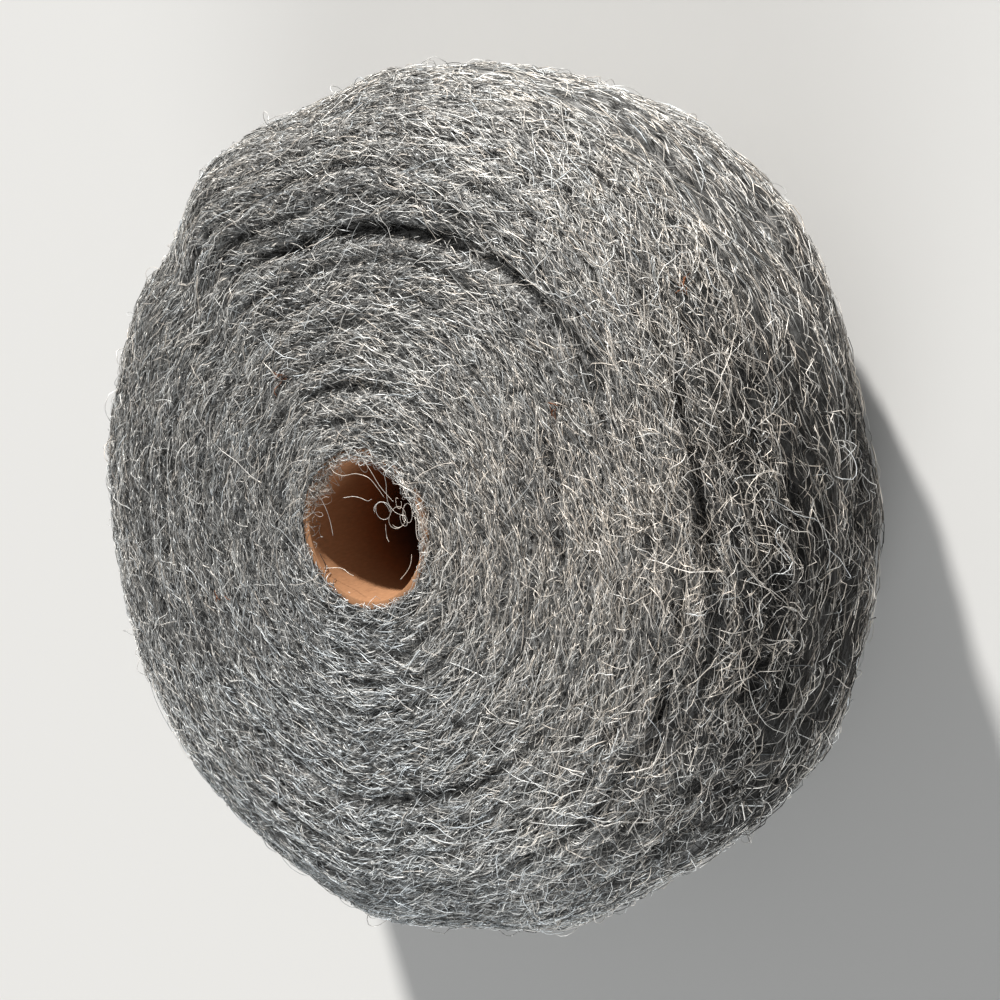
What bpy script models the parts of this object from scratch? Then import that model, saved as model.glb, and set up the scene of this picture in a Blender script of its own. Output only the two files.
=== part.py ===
"""Steel wool roll: a ribbon of steel wool wound on a cardboard tube, standing on its end.

Metres, +Z up along the roll's axis. The origin is at the bottom centre of the roll.
The wound ribbon is one closed body: a loft of sections round the axis, whose rows follow
the spiral of the turns, so that each turn shows as a rounded ridge on both end faces.
"""

import math

import bmesh
import bpy
from mathutils import Vector, noise

ROLL_NAME = "steel_wool_roll"

# The roll as a whole
ROLL_RADIUS = 0.127
ROLL_HEIGHT = 0.1016
TURNS = 11
SECTIONS = 56

# The cardboard tube
CORE_BORE_RADIUS = 0.0205
CORE_WALL = 0.0024
CORE_TOP_RECESS = 0.0045
CORE_BOTTOM_RECESS = 0.0015
CORE_CHAMFER = 0.0004
CORE_STEPS = 64

# The wool round the tube
WOOL_GAP = 0.0003
TOP_SHOULDER = 0.034
BOTTOM_SHOULDER = 0.038
TOP_LIP = 0.0022
BOTTOM_LIP = 0.003
BARREL_BULGE = 0.0012
GROOVE_DEPTH_TOP = 0.0024
GROOVE_DEPTH_BOTTOM = 0.0014
GROOVE_SHARE = 0.25
GROOVE_CELLS = 9.0
GROOVE_EVEN = 0.62
GROOVE_UNEVEN = 1.1
GROOVE_LEAST = 0.15
RELIEF_DEPTH = 0.0026
RELIEF_LENGTH = 0.045
RIM_TURN = math.radians(45)
SHOULDER_ROWS = 5
SIDE_ROWS = 4

# The folds of the outermost turn, which run with the winding and are deeper where it lies loose
FOLD_DEPTH = 0.0013
FOLD_LENGTH = 0.070
FOLD_WIDTH = 0.015
FOLD_FADE = math.radians(18)
LOOSE_DIRECTION = math.radians(250)
LOOSE_SPREAD = math.radians(48)
LOOSE_MORE = 0.9

# Where the roll bulges (+) or is pressed flat (-): direction, spread and reach
BULGES = (
    (math.radians(-35), math.radians(24), 0.0022),
    (math.radians(30), math.radians(9), 0.0026),
    (math.radians(58), math.radians(17), -0.0030),
    (math.radians(125), math.radians(20), 0.0017),
    (math.radians(170), math.radians(10), 0.0018),
    (math.radians(212), math.radians(20), -0.0023),
    (math.radians(250), math.radians(12), -0.0018),
    (math.radians(-80), math.radians(20), -0.0042),
    (math.radians(42), math.radians(7), -0.0040),
    (math.radians(10), math.radians(9), -0.0018),
    (math.radians(186), math.radians(9), -0.0022),
    (math.radians(92), math.radians(24), -0.0018),
)

# Where two turns have parted on the top face: the first and last winding there, counted in
# turns from the tube, and how much deeper the groove is
PARTED = (
    (6.91, 7.21, 0.0050),
    (1.85, 2.07, 0.0026),
    (6.37, 6.61, 0.0022),
    (4.21, 4.38, 0.0020),
    (5.87, 6.05, 0.0014),
    (5.17, 5.29, 0.0018),
    (9.22, 9.44, 0.0022),
    (10.15, 10.42, 0.0034),
)
PARTED_FADE = 0.06

# Where the top face's turns are pushed outward: direction, spread, share of the way from the
# tube to the rim, that share's spread, and reach
PUSHED = (
    (math.radians(-64), math.radians(32), 0.66, 0.22, 0.0044),
    (math.radians(42), math.radians(26), 0.18, 0.14, 0.0040),
)


def clear_scene():
    """Removes every object that a new file starts with."""
    for thing in list(bpy.data.objects):
        bpy.data.objects.remove(thing, do_unlink=True)


def plain_material(name, colour, roughness, metallic):
    """A Principled material of one colour."""
    material = bpy.data.materials.new(name)
    material.use_nodes = True
    shader = material.node_tree.nodes["Principled BSDF"]
    shader.inputs["Base Color"].default_value = (*colour, 1.0)
    shader.inputs["Roughness"].default_value = roughness
    shader.inputs["Metallic"].default_value = metallic
    return material


def outer_radius(angle):
    """The roll's radius in one direction."""
    radius = ROLL_RADIUS
    for direction, spread, reach in BULGES:
        away = (angle - direction + math.pi) % math.tau - math.pi
        radius += reach * math.exp(-((away / spread) ** 2))
    return radius


def inner_radius():
    """The wool's inner wall, just clear of the tube."""
    return CORE_BORE_RADIUS + CORE_WALL + WOOL_GAP


def round_drop(inward, size):
    """How far a quarter-round edge of this size has dropped at a distance inward from its end."""
    if inward >= size:
        return 0.0
    across = (size - inward) / size
    return size * (1.0 - math.sqrt(max(0.0, 1.0 - across * across)))


def groove(share):
    """1 in the groove between two turns and 0 on a turn's crest, for the share of a turn passed."""
    nearest = abs(share - round(share))
    return max(0.0, 1.0 - nearest / GROOVE_SHARE)


def groove_winding(share, passed):
    """The nearest groove's winding, in turns from the tube, at a share of the way to the rim."""
    return round(share * TURNS - passed) + passed


def unevenness(winding):
    """How deep a groove lies at one winding, as a share of its full depth."""
    wave = noise.noise(Vector((winding * GROOVE_CELLS, 0.5, 0.5)))
    return min(1.0, max(GROOVE_LEAST, GROOVE_EVEN + GROOVE_UNEVEN * wave))


def parting(winding):
    """How much deeper a groove is where its two turns have parted."""
    deeper = 0.0
    for first, last, depth in PARTED:
        inside = min(winding - first, last - winding) / PARTED_FADE
        deeper = max(deeper, depth * min(1.0, max(0.0, inside)))
    return deeper


def pushed(angle, share):
    """How far a turn of the top face is pushed outward."""
    reach = 0.0
    for direction, spread, middle, wide, most in PUSHED:
        away = (angle - direction + math.pi) % math.tau - math.pi
        reach += most * math.exp(-((away / spread) ** 2)) * math.exp(-(((share - middle) / wide) ** 2))
    return reach * min(1.0, share * TURNS) * min(1.0, (1.0 - share) * TURNS)


def relief(x, y):
    """The slow unevenness of the top face, from 0 to 1."""
    return 0.5 - 0.5 * noise.noise(Vector((x, y, 0.0)) / RELIEF_LENGTH)


def relief_share(inward, shoulder):
    """How much of the slow unevenness is left at a distance inward from the side."""
    across = max(0.0, 1.0 - inward / shoulder)
    return math.sqrt(max(0.0, 1.0 - across * across))


def rim_radius(angle, shoulder):
    """Where an end face's turns stop and the outermost turn rolls over to the side."""
    return outer_radius(angle) - shoulder * (1.0 - math.sin(RIM_TURN))


def top_point(angle, share, passed):
    """A point of the top face: share runs from the tube (0) to the rim (1)."""
    radius = inner_radius() + share * (rim_radius(angle, TOP_SHOULDER) - inner_radius())
    radius += pushed(angle, share)
    x = radius * math.cos(angle)
    y = radius * math.sin(angle)
    inward = outer_radius(angle) - radius
    winding = groove_winding(share, passed)
    depth = GROOVE_DEPTH_TOP * unevenness(winding) + parting(winding)
    drop = round_drop(inward, TOP_SHOULDER)
    drop += round_drop(radius - inner_radius(), TOP_LIP)
    drop += depth * groove(share * TURNS - passed)
    drop += RELIEF_DEPTH * relief(x, y) * relief_share(inward, TOP_SHOULDER)
    return Vector((x, y, ROLL_HEIGHT - drop))


def bottom_point(angle, share, passed):
    """A point of the bottom face, whose crests are pressed flat by the roll's weight."""
    radius = inner_radius() + share * (rim_radius(angle, BOTTOM_SHOULDER) - inner_radius())
    rise = round_drop(outer_radius(angle) - radius, BOTTOM_SHOULDER)
    rise += round_drop(radius - inner_radius(), BOTTOM_LIP)
    depth = GROOVE_DEPTH_BOTTOM * unevenness(groove_winding(share, passed))
    rise += depth * groove(share * TURNS - passed)
    return Vector((radius * math.cos(angle), radius * math.sin(angle), rise))


def side_middle():
    """The height halfway between the two shoulders."""
    return (ROLL_HEIGHT - TOP_SHOULDER + BOTTOM_SHOULDER) / 2


def side_fold(angle, way):
    """How far the side is pressed in (+) or stands out (-), at a way up from its middle."""
    away = (angle - LOOSE_DIRECTION + math.pi) % math.tau - math.pi
    deeper = 1.0 + LOOSE_MORE * math.exp(-((away / LOOSE_SPREAD) ** 2))
    around = Vector((math.cos(angle), math.sin(angle), 0.0)) * ROLL_RADIUS / FOLD_LENGTH
    return 2.0 * FOLD_DEPTH * deeper * noise.noise(around + Vector((0.0, 0.0, way / FOLD_WIDTH)))


def shoulder_point(angle, turn, shoulder, height, up):
    """A point where the outermost turn rolls over: turn runs from the end face to the side."""
    edge = height - up * shoulder
    way = edge - side_middle() + up * shoulder * (math.pi / 2 - turn)
    fold = side_fold(angle, way) * min(1.0, (turn - RIM_TURN) / FOLD_FADE)
    radius = outer_radius(angle) - shoulder * (1.0 - math.sin(turn)) - fold * math.sin(turn)
    x = radius * math.cos(angle)
    y = radius * math.sin(angle)
    z = height - up * (shoulder * (1.0 - math.cos(turn)) + fold * math.cos(turn))
    if up > 0:
        z -= RELIEF_DEPTH * relief(x, y) * math.cos(turn)
    return Vector((x, y, z))


def side_points(angle):
    """The outermost turn from the top rim to the bottom rim, without those two points."""
    turns = [RIM_TURN + (math.pi / 2 - RIM_TURN) * i / SHOULDER_ROWS for i in range(1, SHOULDER_ROWS + 1)]
    points = [shoulder_point(angle, turn, TOP_SHOULDER, ROLL_HEIGHT, 1.0) for turn in turns]
    side_top = ROLL_HEIGHT - TOP_SHOULDER
    for i in range(1, SIDE_ROWS + 1):
        share = i / (SIDE_ROWS + 1)
        z = side_top + share * (BOTTOM_SHOULDER - side_top)
        radius = outer_radius(angle) + BARREL_BULGE * math.sin(math.pi * share)
        radius -= side_fold(angle, z - side_middle())
        points.append(Vector((radius * math.cos(angle), radius * math.sin(angle), z)))
    points += [shoulder_point(angle, turn, BOTTOM_SHOULDER, 0.0, -1.0) for turn in reversed(turns)]
    return points


def spiral_shares(passed):
    """The rows of one end face, from the tube to the rim, when a share of a turn has passed."""
    steps = (0.0, GROOVE_SHARE, 1.0 - GROOVE_SHARE)
    rows = [(whole + step + passed) / TURNS for whole in range(-1, TURNS) for step in steps]
    return [min(1.0, max(0.0, row)) for row in rows] + [1.0]


def section(step):
    """One closed section of the wool, after this many steps clockwise from +X."""
    passed = step / SECTIONS
    angle = -math.tau * passed
    shares = spiral_shares(passed)
    points = [top_point(angle, share, passed) for share in shares]
    points += side_points(angle)
    points += [bottom_point(angle, share, passed) for share in reversed(shares)]
    return points


def make_wool(collection, material):
    """The wound ribbon, lofted section by section, with the last section closed on the first."""
    mesh = bpy.data.meshes.new("wool_turns")
    build = bmesh.new()
    rings = [[build.verts.new(point) for point in section(step)] for step in range(SECTIONS + 1)]
    for ring, following in zip(rings, rings[1:]):
        for i in range(len(ring)):
            j = (i + 1) % len(ring)
            build.faces.new((ring[i], ring[j], following[j], following[i]))
    bmesh.ops.remove_doubles(build, verts=build.verts, dist=0.000002)
    bmesh.ops.recalc_face_normals(build, faces=build.faces)
    build.to_mesh(mesh)
    build.free()
    mesh.shade_smooth()
    mesh.materials.append(material)
    wool = bpy.data.objects.new("wool_turns", mesh)
    collection.objects.link(wool)
    return wool


def make_core(collection, material):
    """The cardboard tube, a profile turned round the axis."""
    outer = CORE_BORE_RADIUS + CORE_WALL
    inner = CORE_BORE_RADIUS
    top = ROLL_HEIGHT - CORE_TOP_RECESS
    bottom = CORE_BOTTOM_RECESS
    profile = (
        (outer - CORE_CHAMFER, top),
        (outer, top - CORE_CHAMFER),
        (outer, bottom + CORE_CHAMFER),
        (outer - CORE_CHAMFER, bottom),
        (inner + CORE_CHAMFER, bottom),
        (inner, bottom + CORE_CHAMFER),
        (inner, top - CORE_CHAMFER),
        (inner + CORE_CHAMFER, top),
    )
    edges = [(i, (i + 1) % len(profile)) for i in range(len(profile))]
    mesh = bpy.data.meshes.new("cardboard_core")
    mesh.from_pydata([(radius, 0.0, z) for radius, z in profile], edges, [])
    mesh.materials.append(material)
    core = bpy.data.objects.new("cardboard_core", mesh)
    collection.objects.link(core)
    screw = core.modifiers.new("turned", "SCREW")
    screw.axis = "Z"
    screw.angle = math.tau
    screw.steps = CORE_STEPS
    screw.render_steps = CORE_STEPS
    screw.use_merge_vertices = True
    screw.merge_threshold = 0.00001
    screw.use_smooth_shade = True
    return core


def main():
    clear_scene()
    collection = bpy.data.collections.new(ROLL_NAME)
    bpy.context.scene.collection.children.link(collection)
    wool_grey = plain_material("steel_wool", (0.36, 0.36, 0.35), 0.42, 0.9)
    kraft_brown = plain_material("kraft_cardboard", (0.42, 0.24, 0.11), 0.85, 0.0)
    make_wool(collection, wool_grey)
    make_core(collection, kraft_brown)


main()
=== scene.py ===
"""Steel wool roll, dressed for looks: loose steel strands over the wound turns, and a kraft tube.

Metres, +Z up along the roll's axis. A place on the wool is given by two numbers: its turn,
from 0 to 1 round the axis from +X, and its along, in metres down the roll's section, from
the tube's top edge over the top face, down the side and back under to the tube.
"""

import math

import bpy
import numpy as np
from mathutils import Matrix, Vector, noise


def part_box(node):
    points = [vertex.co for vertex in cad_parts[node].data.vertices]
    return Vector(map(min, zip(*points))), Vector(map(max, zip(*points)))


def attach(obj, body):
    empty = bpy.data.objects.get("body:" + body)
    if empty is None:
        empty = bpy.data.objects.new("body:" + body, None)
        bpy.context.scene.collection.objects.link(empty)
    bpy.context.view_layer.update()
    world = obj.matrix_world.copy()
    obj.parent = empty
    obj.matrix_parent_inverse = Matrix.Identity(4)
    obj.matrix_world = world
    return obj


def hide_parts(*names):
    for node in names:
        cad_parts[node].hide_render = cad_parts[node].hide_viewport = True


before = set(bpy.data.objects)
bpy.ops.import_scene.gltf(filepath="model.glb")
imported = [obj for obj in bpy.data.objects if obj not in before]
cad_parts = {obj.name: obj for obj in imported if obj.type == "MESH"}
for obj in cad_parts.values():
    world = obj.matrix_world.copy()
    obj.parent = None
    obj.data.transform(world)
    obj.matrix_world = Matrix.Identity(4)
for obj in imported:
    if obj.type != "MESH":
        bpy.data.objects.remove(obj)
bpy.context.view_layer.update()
bpy.ops.object.select_all(action="DESELECT")

MILLIMETRE = 0.001

# The wool's form, as it was wound
ROLL_RADIUS = 0.127
ROLL_HEIGHT = 0.1016
TURNS = 11
TOP_SHOULDER = 0.034
BOTTOM_SHOULDER = 0.038
TOP_LIP = 0.0022
BOTTOM_LIP = 0.003
BARREL_BULGE = 0.0012
WOOL_GAP = 0.0003
RELIEF_DEPTH = 0.0026
RELIEF_LENGTH = 0.045
GROOVE_DEPTH = 0.0021
GROOVE_CELLS = 9.0
GROOVE_EVEN = 0.62
GROOVE_UNEVEN = 1.1
GROOVE_LEAST = 0.15
FOLD_DEPTH = 0.0013
FOLD_LENGTH = 0.070
FOLD_WIDTH = 0.015
FOLD_FADE = math.radians(18)
LOOSE_MORE = 0.9
FOLDS_SPREAD = math.radians(48) / math.tau
FOLDS_TURN = math.radians(250) / math.tau
TUBE_WALL = 0.0024
TUBE_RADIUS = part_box("cardboard_core")[1].x
TUBE_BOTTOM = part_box("cardboard_core")[0].z
TUBE_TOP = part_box("cardboard_core")[1].z
WOOL_INNER = TUBE_RADIUS + WOOL_GAP
MOUTH_RADIUS = TUBE_RADIUS - TUBE_WALL + 0.0006

# The view of the photograph, a little off the roll's axis, with the camera lying on its side
CAMERA_LOOK = Vector((-0.1156, 0.5852, -0.8026))
CAMERA_UP = Vector((0.9898, 0.0, -0.1426))
CAMERA_PLACE = Vector((0.0570, -0.2939, ROLL_HEIGHT + 0.3357))
CAMERA_LENS = 57.6

# The light: a low key that rakes across the top face, a broad cool fill opposite, and the sky.
# A sun has a tilt off upright and a heading in degrees, a strength, a spread and a colour
SUNS = (
    ("key", 67, 12, 5.5, 4, (1.0, 0.975, 0.94)),
    ("fill", 76, 178, 2.4, 40, (0.97, 0.99, 1.0)),
)
SKY_STRENGTH = 0.27

BASE_AROUND = 380
BASE_ALONG = 112
TABLE_AROUND = 1440
TABLE_ALONG = 940
STRAND_SIDES = 3

# How far the lowest strands keep off the floor
OFF_FLOOR = 0.0004

# Where the tube's end shows, how far the wool draws back there, and how far the end rises in
# the wool
BARE_RIM_TURN = 0.56
BARE_RIM_SPREAD = 0.19
BARE_RIM_WIDTH = 0.0006
TUBE_RISE = 0.0030

# Where the wool hangs over the tube's mouth, by middle turn and spread, and how far
OVERHANG = (0.87, 0.17)
OVER_REACH = 0.0020

# Where the wool was handled and lies loose and open: its middle turn and its spread, where
# along the section it starts, and where what lies below starts to be shaded
LOOSE_TURN = 0.69
LOOSE_SPREAD = 0.14
LOOSE_START = 0.045
LOOSE_FULL = 0.100
OPEN_START = 0.085
OPEN_FULL = 0.115

# Where the wool is painted darker as shade and where it is painted brighter as light, and where the
# steel has a warm and a cool tint: the middle turn and the spread
SHADED_TURNS = (0.24, 0.17)
LIT_TURNS = (-0.16, 0.09)
WARM = (0.74, 0.11)
COOL = (0.46, 0.13)

# Where the roll bulges (+) or is pressed flat (-): middle turn, spread and reach
BULGES = (
    (-35 / 360, 24 / 360, 0.0022),
    (30 / 360, 9 / 360, 0.0026),
    (58 / 360, 17 / 360, -0.0030),
    (125 / 360, 20 / 360, 0.0017),
    (170 / 360, 10 / 360, 0.0018),
    (212 / 360, 20 / 360, -0.0023),
    (250 / 360, 12 / 360, -0.0018),
    (-80 / 360, 20 / 360, -0.0042),
    (42 / 360, 7 / 360, -0.0040),
    (10 / 360, 9 / 360, -0.0018),
    (186 / 360, 9 / 360, -0.0022),
    (92 / 360, 24 / 360, -0.0018),
)


def turns_away(turn, middle):
    """How far a turn lies past the middle one, from -0.5 to 0.5."""
    return (turn - middle + 0.5) % 1.0 - 0.5


def peak(turn, middle, spread):
    """1 at the middle turn, falling to 0 on both sides."""
    return np.exp(-((turns_away(turn, middle) / spread) ** 2))


def patch(turn, share, middle, spread, at, wide):
    """1 at one place on an end face, falling to 0 all round. share is how far out a point lies."""
    return np.exp(-((turns_away(turn, middle) / spread) ** 2) - ((share - at) / wide) ** 2)


def outer_radius(turn):
    """The roll's radius at a turn."""
    radius = ROLL_RADIUS
    for middle, spread, reach in BULGES:
        radius = radius + reach * peak(turn, middle, spread)
    return radius


MEAN_RADIUS = float(outer_radius(np.linspace(0.0, 1.0, 720)).mean())

# The section's stations, as a circle of changing size rolled round it: the way from the last
# station, the quarter turns that it faces up from outward, and its size
TOP_FLAT = MEAN_RADIUS - TOP_SHOULDER - MOUTH_RADIUS - TOP_LIP
BOTTOM_FLAT = MEAN_RADIUS - BOTTOM_SHOULDER - WOOL_INNER - BOTTOM_LIP
SIDE_FLAT = ROLL_HEIGHT - TOP_SHOULDER - BOTTOM_SHOULDER
QUARTER = math.pi / 2
SECTION = np.array(
    (
        (0.0, 3, TOP_LIP),
        (TOP_LIP * QUARTER, 2, TOP_LIP),
        (TOP_LIP * QUARTER, 1, TOP_LIP),
        (TOP_FLAT, 1, TOP_SHOULDER),
        (TOP_SHOULDER * QUARTER, 0, TOP_SHOULDER),
        (SIDE_FLAT, 0, BOTTOM_SHOULDER),
        (BOTTOM_SHOULDER * QUARTER, -1, BOTTOM_SHOULDER),
        (BOTTOM_FLAT, -1, BOTTOM_LIP),
        (BOTTOM_LIP * QUARTER, -2, BOTTOM_LIP),
    )
)
STATIONS = np.cumsum(SECTION[:, 0])
FACING = SECTION[:, 1] * QUARTER
ROUNDING = SECTION[:, 2]
INNER_EDGE = np.array([MOUTH_RADIUS] * 3 + [0.0] * 4 + [WOOL_INNER] * 2)
CENTRE_RADIUS = np.where(INNER_EDGE > 0, INNER_EDGE + ROUNDING, MEAN_RADIUS - ROUNDING)
CENTRE_HEIGHT = np.where(np.arange(9) < 5, ROLL_HEIGHT - ROUNDING, ROUNDING)
BULGE_SHARE = np.where(INNER_EDGE > 0, 0.0, 1.0)
MOUTH_SHARE = np.where(INNER_EDGE == MOUTH_RADIUS, 1.0, 0.0)
ALONG_END = float(STATIONS[-1])
LIP_END = float(STATIONS[2])
SIDE_START = float(STATIONS[4])
SIDE_END = float(STATIONS[5])
LOOSE_END = SIDE_END + 0.03


def mouth_edge(turn):
    """How far the wool draws back from the tube's mouth (+) or hangs over it (-)."""
    back = BARE_RIM_WIDTH * peak(turn, BARE_RIM_TURN, BARE_RIM_SPREAD)
    return back - OVER_REACH * peak(turn, *OVERHANG)


def outline(turn, along):
    """Radius, height and the angle faced (from outward, up) on the roll's plain form."""
    facing = np.interp(along, STATIONS, FACING)
    rounding = np.interp(along, STATIONS, ROUNDING)
    centre = np.interp(along, STATIONS, CENTRE_RADIUS)
    centre = centre + np.interp(along, STATIONS, BULGE_SHARE) * (outer_radius(turn) - MEAN_RADIUS)
    centre = centre + np.interp(along, STATIONS, MOUTH_SHARE) * mouth_edge(turn)
    down = np.clip((along - SIDE_START) / (SIDE_END - SIDE_START), 0.0, 1.0)
    centre = centre + BARREL_BULGE * np.sin(math.pi * down)
    height = np.interp(along, STATIONS, CENTRE_HEIGHT)
    return centre + rounding * np.cos(facing), height + rounding * np.sin(facing), facing


# The patterns of smooth noise on the wool: a cell's length along the section, the number of
# cells round the roll, and the seed
RIBBON_WAVES = (0.010, 22, 5)
BROKEN_GAPS = (0.0030, 64, 7)
GAP_WIDTHS = (1.0, 34, 8)
LOCKS = (0.0019, 70, 11)
FINE_LOCKS = (0.0010, 110, 12)
SLITS = (0.0024, 40, 13)
LUMPS = (0.011, 44, 14)
FINE_LUMPS = (0.006, 80, 15)
RAGGED = (0.009, 56, 16)
FINE_RAGGED = (0.005, 120, 17)
DRIFT = (0.02, 9, 21)
LATTICE_ROWS = 1024


def between(table, i, j, u, v):
    """A table read from place i, j a share u and v of the way to the next, going round."""
    after = (i + 1) % table.shape[0]
    beyond = (j + 1) % table.shape[1]
    near = table[i, j] * (1 - u) + table[after, j] * u
    far = table[i, beyond] * (1 - u) + table[after, beyond] * u
    return near * (1 - v) + far * v


def streaks(turn, along, length, cells, seed):
    """Smooth noise from -1 to 1 over turn and along, in one of the patterns."""
    lattice = np.random.default_rng(seed).uniform(-1.0, 1.0, (cells, LATTICE_ROWS))
    across = along / length
    x = (turn % 1.0) * cells
    column = np.floor(x).astype(int)
    row = np.floor(across).astype(int)
    u = x - column
    v = across - row
    u = u * u * (3.0 - 2.0 * u)
    v = v * v * (3.0 - 2.0 * v)
    return between(lattice, column % cells, row % LATTICE_ROWS, u, v)


def fade(value, start, end):
    """0 at start, 1 at end, smooth between."""
    share = np.clip((value - start) / (end - start), 0.0, 1.0)
    return share * share * (3.0 - 2.0 * share)


# Where two turns have parted on the top face: the first and last winding there, counted in
# turns from the tube, how much deeper the groove is, and the gap's width
PARTED = (
    (6.91, 7.22, 0.0062, 0.0025),
    (1.85, 2.07, 0.0036, 0.0013),
    (6.37, 6.61, 0.0036, 0.0016),
    (4.21, 4.38, 0.0030, 0.0013),
    (5.87, 6.05, 0.0020, 0.0011),
    (5.17, 5.29, 0.0026, 0.0012),
    (9.22, 9.44, 0.0030, 0.0013),
    (10.15, 10.42, 0.0048, 0.0021),
    (8.86, 8.95, 0.0024, 0.0012),
    (7.90, 8.00, 0.0022, 0.0011),
)
PARTED_FADE = 0.05
GAP_ROW = 3.5

# Where the top face's turns are pushed outward: middle turn, spread, share of the way from
# the tube to the rim, that share's spread, and reach
PUSHED = (
    (math.radians(-64) / math.tau, math.radians(32) / math.tau, 0.66, 0.22, 0.0044),
    (math.radians(42) / math.tau, math.radians(26) / math.tau, 0.18, 0.14, 0.0040),
)

# How far the ribbon's edge wanders, in turns, and how wide a groove is on each side
RIBBON_WANDER = 0.11
GROOVE_REACH = 0.26

WINDINGS = np.linspace(-2.0, TURNS + 2.0, 3000)
UNEVEN = np.array([noise.noise(Vector((winding * GROOVE_CELLS, 0.5, 0.5))) for winding in WINDINGS])
UNEVEN = np.clip(GROOVE_EVEN + GROOVE_UNEVEN * UNEVEN, GROOVE_LEAST, 1.0)


def pushed(turn, share):
    """How far a turn of the top face is pushed outward."""
    reach = 0.0
    for middle, spread, at, wide, most in PUSHED:
        reach = reach + most * patch(turn, share, middle, spread, at, wide)
    return reach * np.clip(share * TURNS, 0.0, 1.0) * np.clip((1.0 - share) * TURNS, 0.0, 1.0)


def winding_at(turn, along):
    """The nearest groove's winding, in turns from the tube, and how many turns it lies away."""
    radius, height = outline(turn, along)[:2]
    top = height > ROLL_HEIGHT / 2
    rim = outer_radius(turn) - np.where(top, TOP_SHOULDER, BOTTOM_SHOULDER) * (1 - math.sqrt(0.5))
    share = (radius - WOOL_INNER) / (rim - WOOL_INNER)
    # The push depends on the place before it, so two steps close in on that
    for step in range(2):
        share = (radius - top * pushed(turn, share) - WOOL_INNER) / (rim - WOOL_INNER)
    passed = (-turn) % 1.0
    ribbon = share * TURNS - passed + RIBBON_WANDER * streaks(turn, along, *RIBBON_WAVES)
    return np.round(ribbon) + passed, np.abs(ribbon - np.round(ribbon))


def turn_grooves(turn, along):
    """1 in the grooves between turns, on the end faces, and 0 on their crests and on the side."""
    winding, away = winding_at(turn, along)
    shown = fade(np.abs(np.sin(outline(turn, along)[2])), 0.35, 0.75)
    return fade(away, GROOVE_REACH, 0.0) * np.interp(winding, WINDINGS, UNEVEN) * shown


def parted_turns(turn, along):
    """How far the wool has sunk where two turns have parted."""
    winding, away = winding_at(turn, along)
    away = away * (MEAN_RADIUS - WOOL_INNER) / TURNS
    broken = np.clip(0.66 + 1.1 * streaks(turn, along, *BROKEN_GAPS), 0.12, 1.0)
    # The gaps' width varies only round the roll, so it is read along one row
    uneven = 0.9 + 0.5 * streaks(turn, np.full(np.shape(turn), GAP_ROW), *GAP_WIDTHS)
    sunk = 0.0
    for first, last, depth, width in PARTED:
        inside = np.clip(np.minimum(winding - first, last - winding) / PARTED_FADE, 0.0, 1.0)
        wide = width * (0.5 + 0.5 * inside) * uneven
        sunk = np.maximum(sunk, depth * inside * np.exp(-((away / wide) ** 2)))
    return sunk * broken


def side_folds(turn, along):
    """How far the side is pressed in (+) or stands out (-), in folds that run with the winding."""
    deeper = 1.0 + LOOSE_MORE * peak(turn, FOLDS_TURN, FOLDS_SPREAD)
    x = np.cos(math.tau * turn) * ROLL_RADIUS / FOLD_LENGTH
    y = np.sin(math.tau * turn) * ROLL_RADIUS / FOLD_LENGTH
    z = ((SIDE_START + SIDE_END) / 2 - along) / FOLD_WIDTH
    shown = np.clip((math.radians(45) - np.abs(outline(turn, along)[2])) / FOLD_FADE, 0.0, 1.0)
    waves = np.zeros(np.shape(turn))
    for at in zip(*np.nonzero(shown)):
        waves[at] = noise.noise(Vector((x[at], y[at], z[at])))
    return 2.0 * FOLD_DEPTH * deeper * waves * shown


# Patches beside the gaps, sunk in and painted darker as shade, and a few painted brighter as light:
# turn, radius as a share of the roll's, the spread of each, and how much darker
SHADE_PATCHES = (
    (-0.020, 0.635, 0.034, 0.040, 0.26),
    (-0.143, 0.705, 0.022, 0.034, 0.44),
    (-0.178, 0.700, 0.014, 0.032, 0.44),
    (0.075, 0.725, 0.040, 0.034, 0.30),
    (-0.075, 0.720, 0.020, 0.026, 0.16),
    (-0.430, 0.840, 0.070, 0.140, -0.13),
    (-0.060, 0.300, 0.060, 0.080, -0.10),
    (-0.255, 0.380, 0.050, 0.120, 0.06),
    (0.040, 0.320, 0.070, 0.020, 0.16),
    (-0.235, 0.840, 0.020, 0.020, 0.16),
    (-0.300, 0.940, 0.022, 0.022, 0.20),
)


def shade_patches(turn, along):
    """How much darker the wool is painted in the patches, as shade, or brighter where negative, as light.
    """
    share = outline(turn, along)[0] / MEAN_RADIUS
    darker = 0.0
    for middle, at, spread, wide, most in SHADE_PATCHES:
        darker = darker + most * patch(turn, share, middle, spread, at, wide)
    return darker * (along > LIP_END) * (along < SIDE_START)


def looseness(turn, along):
    """1 where the wool lies loose and open, 0 where it is still packed as it was wound."""
    down = fade(along, LOOSE_START, LOOSE_FULL) * fade(along, LOOSE_END, SIDE_END)
    return peak(turn, LOOSE_TURN, LOOSE_SPREAD) * down


# The side's folds are worked out at every fourth place of the table, each way
COARSE = 4


def spread_out(coarse, shape):
    """The coarse table of the folds over turn and along, read at every place of the full one."""
    x = np.arange(shape[0]) / COARSE
    y = np.arange(shape[1]) / COARSE
    i = x.astype(int)
    j = np.minimum(y.astype(int), coarse.shape[1] - 2)
    u = (x - i)[:, None]
    v = (y - j)[None]
    near = coarse[i][:, j] * (1 - v) + coarse[i][:, j + 1] * v
    i = (i + 1) % coarse.shape[0]
    far = coarse[i][:, j] * (1 - v) + coarse[i][:, j + 1] * v
    return near * (1 - u) + far * u
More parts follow.
